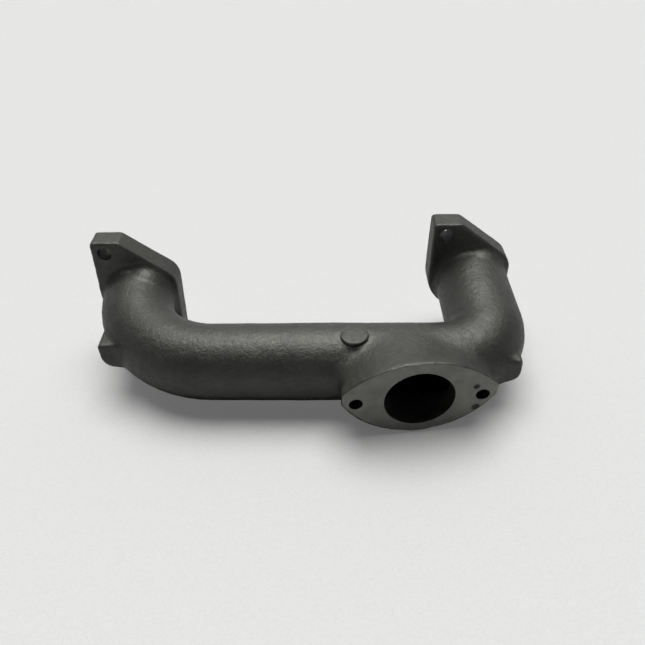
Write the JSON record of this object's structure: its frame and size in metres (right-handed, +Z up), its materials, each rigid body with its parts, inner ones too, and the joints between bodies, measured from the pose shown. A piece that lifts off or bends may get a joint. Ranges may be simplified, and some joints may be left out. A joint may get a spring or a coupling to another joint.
{
  "type": "exhaust manifold",
  "caption": "Cast iron exhaust manifold: a bent tube joins two inlet flanges on one plane to a lens-shaped outlet face, with a plug on top and clamping lugs at the elbows.",
  "frame": {"origin": "centre of the box round the part: midway between the two inlet flanges, level with the middles of their ports, and 62.5 mm in front of the machined faces that bolt to the engine", "axes": "+X along the port line, from left to right for a person facing the outlet; +Y out of the inlet faces into the engine; +Z up, square to both"},
  "size_m": [0.2804, 0.125, 0.0864],
  "materials": {
    "cast_iron": "shot-blasted sand casting, dark grey, matt, with a fine grain; the outlet and inlet faces are milled",
    "plug_iron": "dark grey, matt, fine grain",
    "insert_steel": "dull stainless wire"
  },
  "bodies": {
    "root": {"manifold_casting": "cast_iron", "top_plug": "plug_iron", "left_thread_insert": "insert_steel", "right_thread_insert": "insert_steel"}
  },
  "joints": []
}
